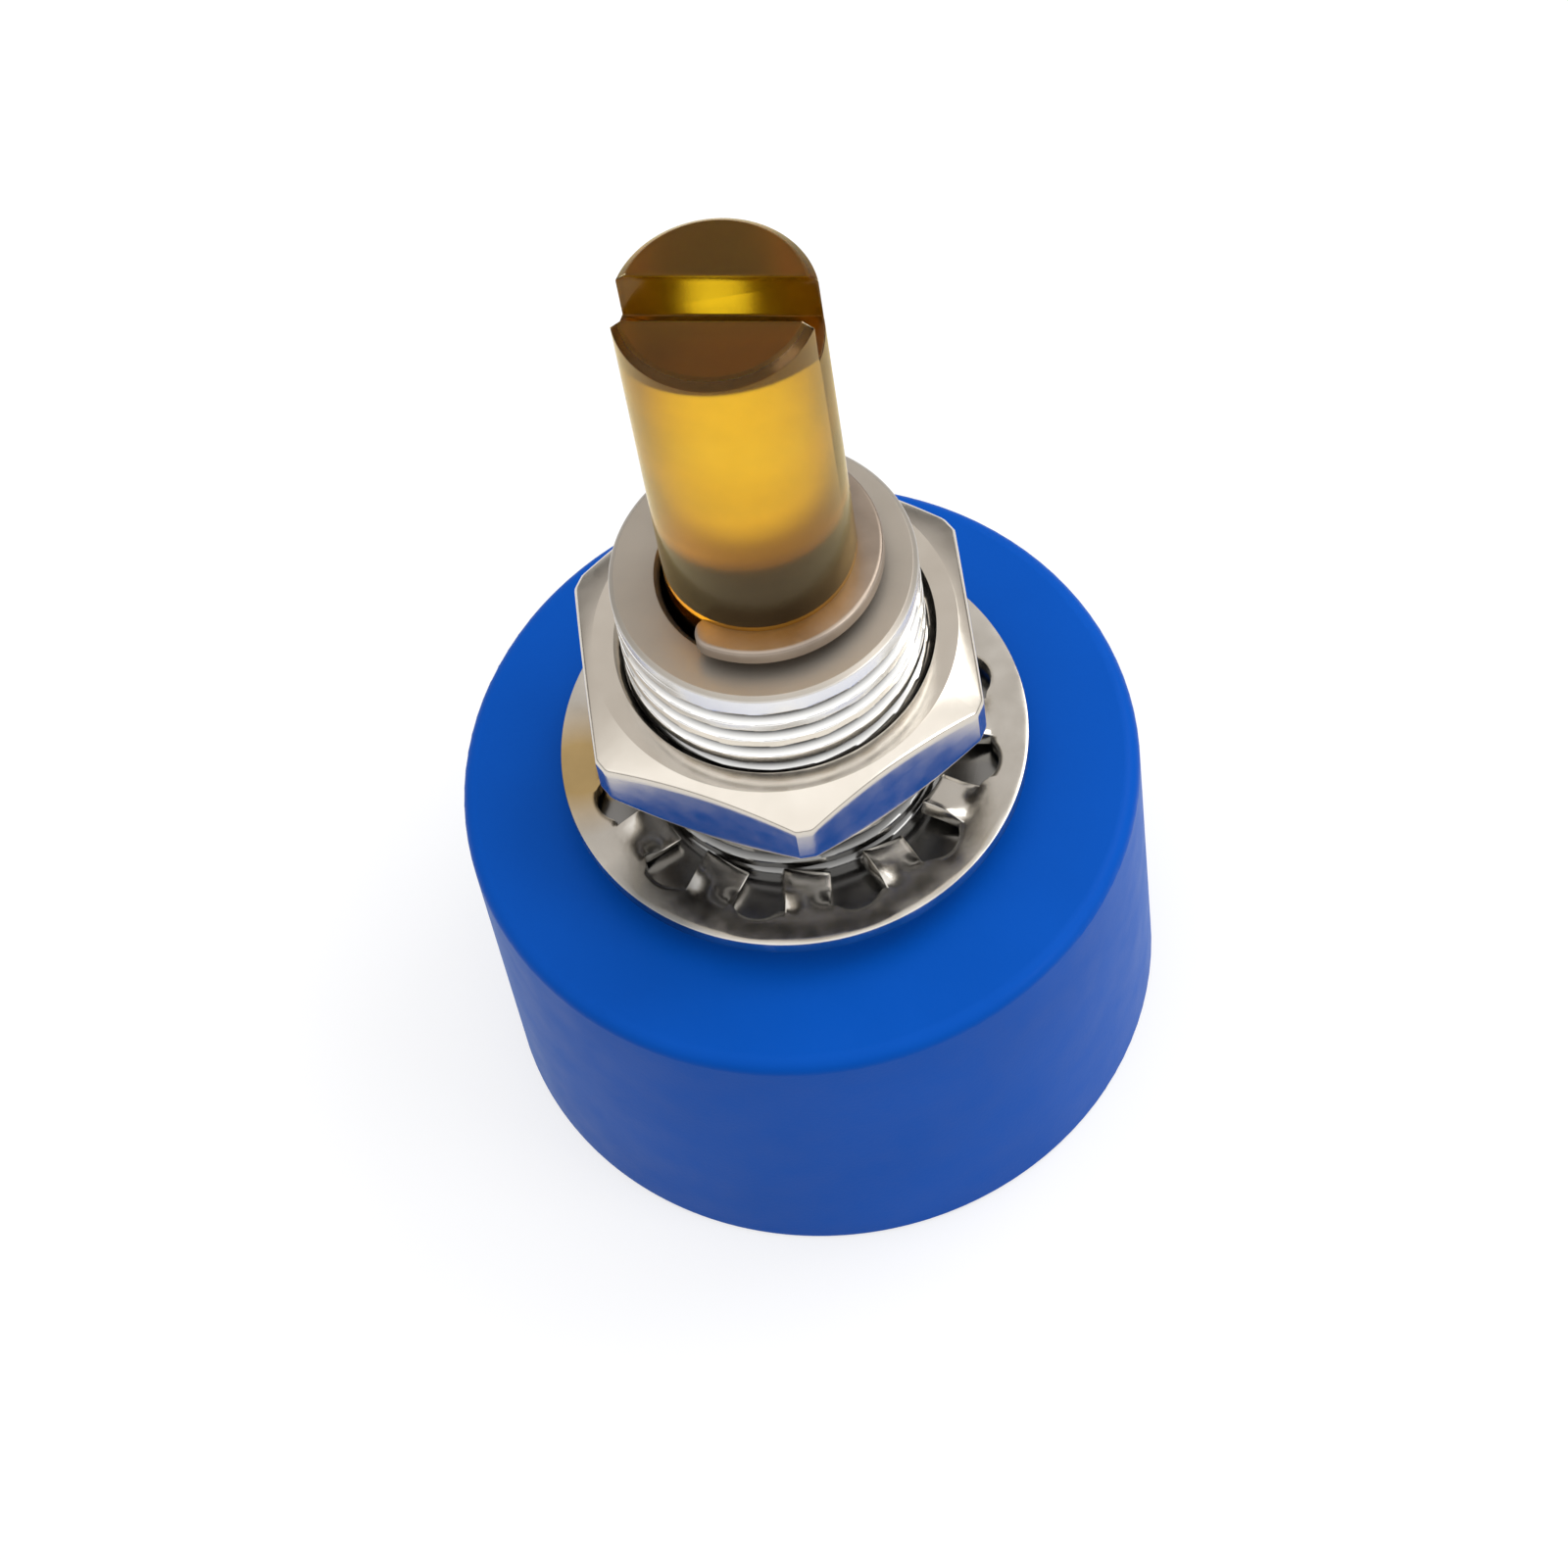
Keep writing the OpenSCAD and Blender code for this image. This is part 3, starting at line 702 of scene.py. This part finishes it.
def nut_section(angle):
    side = hexagon_radius(angle)
    drop = (side - NUT_FACE_R) * NUT_CHAMFER
    low, high = NUT_BOTTOM + drop, NUT_TOP - drop
    return rounded([
        (NUT_BORE_R, NUT_BOTTOM + NUT_SINK, 0), (NUT_BORE_R + NUT_SINK, NUT_BOTTOM, NUT_RIM),
        (NUT_FACE_R, NUT_BOTTOM, NUT_RIM), (side, low, NUT_EDGE),
        (side, low + NUT_EDGE_ROOM, 0), (side, high - NUT_EDGE_ROOM, 0),
        (side, high, NUT_EDGE), (NUT_FACE_R, NUT_TOP, NUT_RIM),
        (NUT_BORE_R + NUT_SINK, NUT_TOP, NUT_RIM), (NUT_BORE_R, NUT_TOP - NUT_SINK, 0),
    ])


nut = new_object("chamfered_nut", lathe("chamfered_nut", nut_section, NUT_TURNS))
smooth(nut.data, 24)
dress(nut, nickel)
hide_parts("hex_nut")
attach(nut, "stator")
print("nut faces:", len(nut.data.polygons))

# %% [markdown]
# The lock washer is a stamped spring ring whose inner teeth are twisted out of the
# sheet, so that their corners bite. All of it could be cut from a disc by booleans, but
# those leave ragged faces at each twist. One sector with one tooth is drawn instead, as
# a sheet of clean quads that has no thickness yet.

# %% Lock washer, one sector
TOOTH_COUNT = 12
TOOTH_W = 1.45 * MM
TOOTH_SLOPE = math.tan(math.radians(20))
TOOTH_TIP_R = THREAD_R + 0.2 * MM
TOOTH_ROOT_R = TOOTH_TIP_R + 1.4 * MM
TOOTH_RELIEF = 0.35 * MM
TWIST_RATE = 2.2
GAP_STEPS = 8
TOOTH_STEPS = 6
RING_STEPS = 5
REACH_STEPS = 8

washer_mid = (WASHER_BOTTOM + WASHER_TOP) / 2
sector_half = math.pi / TOOTH_COUNT
tooth_half = math.asin(TOOTH_W / 2 / TOOTH_ROOT_R)
gap_r = TOOTH_ROOT_R * math.sin(sector_half) - TOOTH_W / 2
gap_centre = TOOTH_ROOT_R + TOOTH_RELIEF - gap_r


def washer_inner(angle):
    """Inner edge of the ring: level under the tooth and a round gap beside it."""
    off = sector_half - abs(angle)
    rise = gap_r ** 2 - (gap_centre * math.sin(off)) ** 2
    if rise <= 0:
        return TOOTH_ROOT_R
    return max(TOOTH_ROOT_R, gap_centre * math.cos(off) + math.sqrt(rise))


def ring_column(work, angle):
    """Points from the washer's rim in to the ring's inner edge."""
    inner = washer_inner(angle)
    radii = [WASHER_R + (inner - WASHER_R) * k / RING_STEPS for k in range(RING_STEPS + 1)]
    return [work.verts.new((r * math.cos(angle), r * math.sin(angle), washer_mid)) for r in radii]


def tooth_row(work, share):
    """Points across the tooth, twisted more the further they lie from its root."""
    r = TOOTH_ROOT_R + (TOOTH_TIP_R - TOOTH_ROOT_R) * share
    twist = TOOTH_SLOPE * min(1, share * TWIST_RATE)
    offsets = [TOOTH_W / 2 * (1 - 2 * i / TOOTH_STEPS) for i in range(TOOTH_STEPS + 1)]
    return [
        work.verts.new((math.sqrt(r * r - across * across), across, washer_mid - across * twist))
        for across in offsets
    ]


def quads(work, rows):
    """Faces of a sheet between rows of points."""
    for here, following in zip(rows, rows[1:]):
        for k in range(len(here) - 1):
            work.faces.new((here[k], here[k + 1], following[k + 1], following[k]))


def washer_sector():
    """Sheet of one sector: a strip of the ring and one tooth, already twisted."""
    work = bmesh.new()
    gap = [sector_half - (sector_half - tooth_half) * i / GAP_STEPS for i in range(GAP_STEPS)]
    root = [tooth_half - 2 * tooth_half * i / TOOTH_STEPS for i in range(TOOTH_STEPS + 1)]
    columns = [
        ring_column(work, angle)
        for angle in gap + root + [-value for value in reversed(gap)]
    ]
    quads(work, columns)
    rows = [[columns[GAP_STEPS + i][-1] for i in range(TOOTH_STEPS + 1)]]
    rows += [tooth_row(work, k / REACH_STEPS) for k in range(1, REACH_STEPS + 1)]
    quads(work, list(zip(*rows)))
    return mesh_from(work, "washer_sector")


washer = new_object("toothed_washer", washer_sector())
print("sector faces:", len(washer.data.polygons))

# %% [markdown]
# Stamping repeats one tooth round the ring. An Array modifier with an empty could do it,
# but the last seam would have to be closed by hand. Geometry Nodes place the sector at
# equal steps and weld all seams alike. The sheet is then thickened and its edges are
# broken by ordinary modifiers, as tumbling breaks the edges of the real washer.

# %% Lock washer, whole
WASHER_TURN = math.radians(-5)
SEAM_WELD = 0.004 * MM
SHEET_T = 0.55 * MM
SHARP_FROM = math.radians(40)

ring_tree = Tree("teeth_round_ring", {
    "Count": TOOTH_COUNT, "Turn": WASHER_TURN, "Weld": SEAM_WELD,
})
given = ring_tree.given
seats = ring_tree.add("GeometryNodePoints", {0: given["Count"]})
step = ring_tree.math("DIVIDE", 2 * math.pi, given["Count"])
number = ring_tree.add("GeometryNodeInputIndex").outputs[0]
angle = ring_tree.math("ADD", ring_tree.math("MULTIPLY", number, step), given["Turn"])
turning = ring_tree.add("ShaderNodeCombineXYZ", {2: angle})
copies = ring_tree.add("GeometryNodeInstanceOnPoints", {
    "Points": seats.outputs[0], "Instance": given["Geometry"], "Rotation": turning.outputs[0],
})
loose = ring_tree.add("GeometryNodeRealizeInstances", {0: copies.outputs[0]})
welded = ring_tree.add("GeometryNodeMergeByDistance",
                       {0: loose.outputs[0], "Distance": given["Weld"]})
ring_tree.finish(welded.outputs[0], spring.material)

ring_tree.apply_to(washer)
thick = washer.modifiers.new("thickness", "SOLIDIFY")
thick.thickness = SHEET_T
thick.offset = 0
edges = washer.modifiers.new("broken_edges", "BEVEL")
edges.width = EDGE
edges.segments = 2
edges.limit_method = "ANGLE"
edges.angle_limit = SHARP_FROM
washer = bake(washer)
smooth(washer.data, 30)
dress(washer, spring)
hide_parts("lock_washer")
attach(washer, "stator")
print("washer faces:", len(washer.data.polygons))

# %% [markdown]
# The retaining clip is a flat spring ring, open on one side, with round ends. A curve
# with a bevel would sweep it too, but would cut its ends square. Here the section is
# swept along an arc: its half-width stays level and then follows a half circle, so each
# end closes by itself. The upper outer edge is well rounded, as on a stamped ring.

# %% Retaining clip
CLIP_INNER_R = 2.63 * MM
CLIP_OPEN = math.radians(92)
CLIP_TURN = math.radians(180)
CLIP_EDGE = 0.14 * MM
CLIP_EDGE_SHARE = 0.45
CLIP_TIP = 0.02 * MM
END_STEPS = 10
BAND_STEPS = 110

clip_mid = (CLIP_R + CLIP_INNER_R) / 2
clip_half = (CLIP_R - CLIP_INNER_R) / 2
clip_span = 2 * math.pi - CLIP_OPEN
end_angle = clip_half / clip_mid


def clip_stations():
    """Angles along the clip, closer together in its round ends."""
    ends = [end_angle * (1 - math.cos(i / END_STEPS * math.pi / 2)) for i in range(END_STEPS)]
    step = (clip_span - 2 * end_angle) / BAND_STEPS
    band = [end_angle + step * i for i in range(BAND_STEPS + 1)]
    return ends + band + [clip_span - value for value in reversed(ends)]


def clip_section(station):
    """Section of the clip, narrower within its round ends."""
    inside = min(station, clip_span - station, end_angle)
    share = 1 - inside / end_angle
    half = max(clip_half * math.sqrt(max(0, 1 - share * share)), CLIP_TIP)
    edge = min(CLIP_EDGE, half * CLIP_EDGE_SHARE)
    return rounded([
        (clip_mid - half, CLIP_BOTTOM, edge / 3), (clip_mid + half, CLIP_BOTTOM, edge / 2),
        (clip_mid + half, CLIP_TOP, edge), (clip_mid - half, CLIP_TOP, edge / 2),
    ])


def clip_mesh():
    """Sweep of the clip's section, from one round end to the other."""
    work = bmesh.new()
    loops = []
    for station in clip_stations():
        heading = CLIP_TURN + CLIP_OPEN / 2 + station
        loops.append([
            work.verts.new((r * math.cos(heading), r * math.sin(heading), z))
            for r, z in clip_section(station)
        ])
    bridge(work, loops, closed=False)
    work.faces.new(loops[0])
    work.faces.new(loops[-1])
    bmesh.ops.recalc_face_normals(work, faces=work.faces)
    return mesh_from(work, "spring_clip")


clip = new_object("spring_clip", clip_mesh())
smooth(clip.data, 40)
dress(clip, bronze)
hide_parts("retaining_clip")
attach(clip, "rotor")
print("clip faces:", len(clip.data.polygons))

# %% [markdown]
# The shaft is one turned bar, from the slotted tip down through the clip's groove, the
# collar and the hub's stub to the rear journal. A transparent part shows every hidden
# face, so two cylinders pushed into each other won't do: it has to be one clean skin.
# One open section is turned about the axis, and its two ends close on it.

# %% Amber shaft, turned
SHAFT_R = 3.0 * MM
TIP_CHAMFER = 0.3 * MM
GROOVE_R = 2.6 * MM
GROOVE_PLAY = 0.05 * MM
CLIP_SEAT = 0.04 * MM
COLLAR_T = 0.8 * MM
COLLAR_PLAY = 0.05 * MM
STUB_R = 2.4 * MM
JOURNAL_R = 1.5 * MM
SHAFT_TURNS = 144

hub_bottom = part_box("rotor_hub")[0].z
collar_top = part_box("thrust_washer")[0].z - COLLAR_PLAY
collar_bottom = collar_top - COLLAR_T
clip_low = CLIP_BOTTOM - GROOVE_PLAY
clip_high = CLIP_TOP - CLIP_SEAT

shaft_section = rounded([
    (0, SHAFT_BOTTOM, 0), (JOURNAL_R, SHAFT_BOTTOM, EDGE), (JOURNAL_R, hub_bottom, 0),
    (STUB_R, hub_bottom, EDGE), (STUB_R, collar_bottom, 0),
    (COLLAR_R, collar_bottom, EDGE), (COLLAR_R, collar_top, EDGE), (SHAFT_R, collar_top, 0),
    (SHAFT_R, clip_low, 0), (GROOVE_R, clip_low, 0), (GROOVE_R, clip_high, 0),
    (SHAFT_R, clip_high, 0), (SHAFT_R, SHAFT_TIP - TIP_CHAMFER, EDGE),
    (SHAFT_R - TIP_CHAMFER, SHAFT_TIP, EDGE), (0, SHAFT_TIP, 0),
])


def capped_lathe(name, section, turns):
    """Lathe of an open section whose two ends lie on the axis."""
    work = bmesh.new()
    bottom = work.verts.new((0, 0, section[0].y))
    headings = [2 * math.pi * i / turns for i in range(turns)]
    loops = [
        [work.verts.new((r * math.cos(a), r * math.sin(a), z)) for a in headings]
        for r, z in section[1:-1]
    ]
    top = work.verts.new((0, 0, section[-1].y))
    for i in range(turns):
        work.faces.new((bottom, loops[0][(i + 1) % turns], loops[0][i]))
    bridge(work, loops, closed=False)
    for i in range(turns):
        work.faces.new((loops[-1][i], loops[-1][(i + 1) % turns], top))
    bmesh.ops.recalc_face_normals(work, faces=work.faces)
    return mesh_from(work, name)


shaft = new_object("slotted_shaft", capped_lathe("slotted_shaft", shaft_section, SHAFT_TURNS))
print("shaft turned, faces:", len(shaft.data.polygons))

# %% [markdown]
# A saw cuts the screwdriver slot, and a milling cutter the flat that drives the hub. The
# same cuts are made by two boxes with Boolean modifiers, since modelling them in the
# lathe's mesh would break its rings. A bevel then breaks the sharp rims of the slot,
# because it is their thin bright lines that tell the eye how clear the plastic is.

# %% Amber shaft, slotted
SLOT_W = 1.55 * MM
SLOT_DEPTH = 1.9 * MM
SLOT_TURN = math.radians(-13)
STUB_FLAT = 0.5 * MM
RIM_BEVEL = 0.06 * MM
RIM_BELOW = 0.1 * MM
RIM_ANGLE = math.radians(50)
RIM_WELD = 1e-6


def cutter(low, high, heading):
    """Box between two corners, turned about the shaft's axis."""
    work = bmesh.new()
    bmesh.ops.create_cube(work, size=1)
    size = Vector(high) - Vector(low)
    centre = (Vector(high) + Vector(low)) / 2
    for vertex in work.verts:
        vertex.co = Vector(a * b for a, b in zip(vertex.co, size)) + centre
    bmesh.ops.rotate(work, verts=work.verts, matrix=Matrix.Rotation(heading, 3, "Z"))
    return new_object("cutter", mesh_from(work, "cutter"))


cutters = [
    cutter((-2 * SHAFT_R, -SLOT_W / 2, SHAFT_TIP - SLOT_DEPTH),
           (2 * SHAFT_R, SLOT_W / 2, SHAFT_TIP + SLOT_DEPTH), SLOT_TURN),
    cutter((-2 * STUB_R, STUB_R - STUB_FLAT, hub_bottom),
           (2 * STUB_R, 2 * STUB_R, collar_bottom), 0.0),
]
for tool in cutters:
    carve = shaft.modifiers.new("cut", "BOOLEAN")
    carve.operation = "DIFFERENCE"
    carve.solver = "EXACT"
    carve.object = tool
shaft = bake(shaft)
for tool in cutters:
    bpy.data.objects.remove(tool)

work = bmesh.new()
work.from_mesh(shaft.data)
bmesh.ops.remove_doubles(work, verts=work.verts, dist=RIM_WELD)
rims = [
    edge for edge in work.edges
    if all(vertex.co.z > SHAFT_TIP - SLOT_DEPTH - RIM_BELOW for vertex in edge.verts)
    and edge.is_manifold and edge.calc_face_angle() > RIM_ANGLE
]
bmesh.ops.bevel(work, geom=rims, offset=RIM_BEVEL, segments=3, profile=0.5, affect="EDGES")
work.to_mesh(shaft.data)
work.free()
smooth(shaft.data, 30)
dress(shaft, amber)
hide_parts("shaft")
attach(shaft, "rotor")
print("rims bevelled:", len(rims), "shaft faces:", len(shaft.data.polygons))

# %% [markdown]
# The body, the lugs and everything inside already have their true shape as solids, with
# real radii on their edges. They could be rebuilt too, but it would add nothing, so they
# only get their finish: each one's material slot is filled with the finish that the
# record names for it.

# %% Finishes of the other solids
finishes = {
    made.slot: made
    for made in (blue, blue_rear, black, white, amber, nickel, spring, bronze, brass,
                 alloy, strap, tinned, plated, enamel, winding)
}
for entry in frame["record"]["subparts"]:
    made = finishes[entry["material_slot"]]
    for material_slot in nodes[entry["node"]].material_slots:
        material_slot.material = made.material
print("finishes:", len(finishes))

# %% [markdown]
# The part stands on a sheet of white paper. A plain white floor under soft light comes
# out grey, so a glow is added to it, but only for the camera, for reflections and for
# what is seen through the clear plastic. Its diffuse light stays at a natural level,
# and the part's shadow still falls on it.

# %% Floor
FLOOR_HALF = 0.6
FLOOR_GREY = (0.4, 0.4, 0.4, 1)
FLOOR_GLOW = 0.65

floor_mesh = bpy.data.meshes.new("floor")
floor_mesh.from_pydata(
    [(-FLOOR_HALF, -FLOOR_HALF, 0), (FLOOR_HALF, -FLOOR_HALF, 0),
     (FLOOR_HALF, FLOOR_HALF, 0), (-FLOOR_HALF, FLOOR_HALF, 0)], [], [(0, 1, 2, 3)])
floor = new_object("floor", floor_mesh)

paper = bpy.data.materials.new("floor_paper")
tree = empty_tree(paper)
seen = any_ray(tree, "Camera", "Glossy", "Transmission")
level = add_node(tree, "ShaderNodeMath", {0: seen, 1: FLOOR_GLOW}, operation="MULTIPLY")
matt = add_node(tree, "ShaderNodeBsdfDiffuse", {"Color": FLOOR_GREY})
glow = add_node(tree, "ShaderNodeEmission", {"Strength": level.outputs[0]})
both = add_node(tree, "ShaderNodeAddShader", {0: matt.outputs[0], 1: glow.outputs[0]})
add_node(tree, "ShaderNodeOutputMaterial", {"Surface": both.outputs[0]})
floor_mesh.materials.append(paper)
print("floor of", 2 * FLOOR_HALF, "m made")

# %% [markdown]
# Shiny metal is lit by what it mirrors. One even sky would make it all white, so there
# are three skies in one: a plain white one that the camera sees, a soft one that is
# brighter overhead for diffuse light, and one for reflections. The last is white in
# front, warm grey behind and dark near the horizon, which draws the thin dark lines on
# rounded edges and lets faces that look up read as grey nickel.

# %% Sky
SKY_WHITE = 1.0
SKY_LOW = 0.5
SKY_HIGH = 1.45
MIRROR_FRONT = (1.45, 1.45, 1.45, 1)
MIRROR_BACK = (0.78, 0.75, 0.72, 1)
FRONT_ENDS = -0.15
BACK_STARTS = 0.35
HORIZON_LEVEL = 0.12
HORIZON_ENDS = 0.35

world = bpy.data.worlds.new("studio")
bpy.context.scene.world = world
tree = empty_tree(world)
heading = add_node(tree, "ShaderNodeTexCoord").outputs["Generated"]
parts = add_node(tree, "ShaderNodeSeparateXYZ", {0: heading}).outputs
overhead = add_node(tree, "ShaderNodeMapRange", {
    "Value": parts["Z"], "To Min": SKY_LOW, "To Max": SKY_HIGH,
})
soft = add_node(tree, "ShaderNodeBackground", {"Strength": overhead.outputs["Result"]})
back = add_node(tree, "ShaderNodeMapRange", {
    "Value": parts["Y"], "From Min": FRONT_ENDS, "From Max": BACK_STARTS,
})
tone = add_node(tree, "ShaderNodeMix", data_type="RGBA", wires={
    0: back.outputs["Result"], 6: MIRROR_FRONT, 7: MIRROR_BACK,
})
lift = add_node(tree, "ShaderNodeMapRange", {
    "Value": parts["Z"], "From Min": 0.0, "From Max": HORIZON_ENDS, "To Min": HORIZON_LEVEL,
})
mirrored = add_node(tree, "ShaderNodeBackground", {
    "Color": tone.outputs[2], "Strength": lift.outputs["Result"],
})
lit = add_node(tree, "ShaderNodeMixShader", {
    0: any_ray(tree, "Glossy"), 1: soft.outputs[0], 2: mirrored.outputs[0],
})
plain = add_node(tree, "ShaderNodeBackground", {"Strength": SKY_WHITE})
all_rays = add_node(tree, "ShaderNodeMixShader", {
    0: any_ray(tree, "Camera", "Transmission"), 1: lit.outputs[0], 2: plain.outputs[0],
})
add_node(tree, "ShaderNodeOutputWorld", {"Surface": all_rays.outputs[0]})
print("sky nodes:", len(tree.nodes))

# %% [markdown]
# Two soft lamps give the form its direction: a large one high at the back right, and a
# lower one that lights the right side of the body. A sun would cut hard shadows, while a
# square lamp four or five times as wide as the part is tall gives soft ones. Both stay
# out of the direction that upward metal mirrors, where they would show as white blots.

# %% Lamps
PART_MIDDLE = Vector((0, 0, 0.015))


def softbox(name, position, size, watts):
    """Square area lamp that faces the part."""
    lamp = bpy.data.lights.new(name, "AREA")
    lamp.shape = "SQUARE"
    lamp.size = size
    lamp.energy = watts
    holder = bpy.data.objects.new(name, lamp)
    bpy.context.scene.collection.objects.link(holder)
    away = Vector(position) - PART_MIDDLE
    facing = away.to_track_quat("Z", "Y").to_matrix().to_4x4()
    holder.matrix_world = Matrix.Translation(position) @ facing
    print(name, "lamp at", round(away.length, 2), "m")


softbox("key", (0.22, 0.10, 0.28), 0.20, 0.32)
softbox("fill", (0.26, -0.16, 0.14), 0.14, 0.22)
bpy.context.scene.view_settings.view_transform = "Standard"
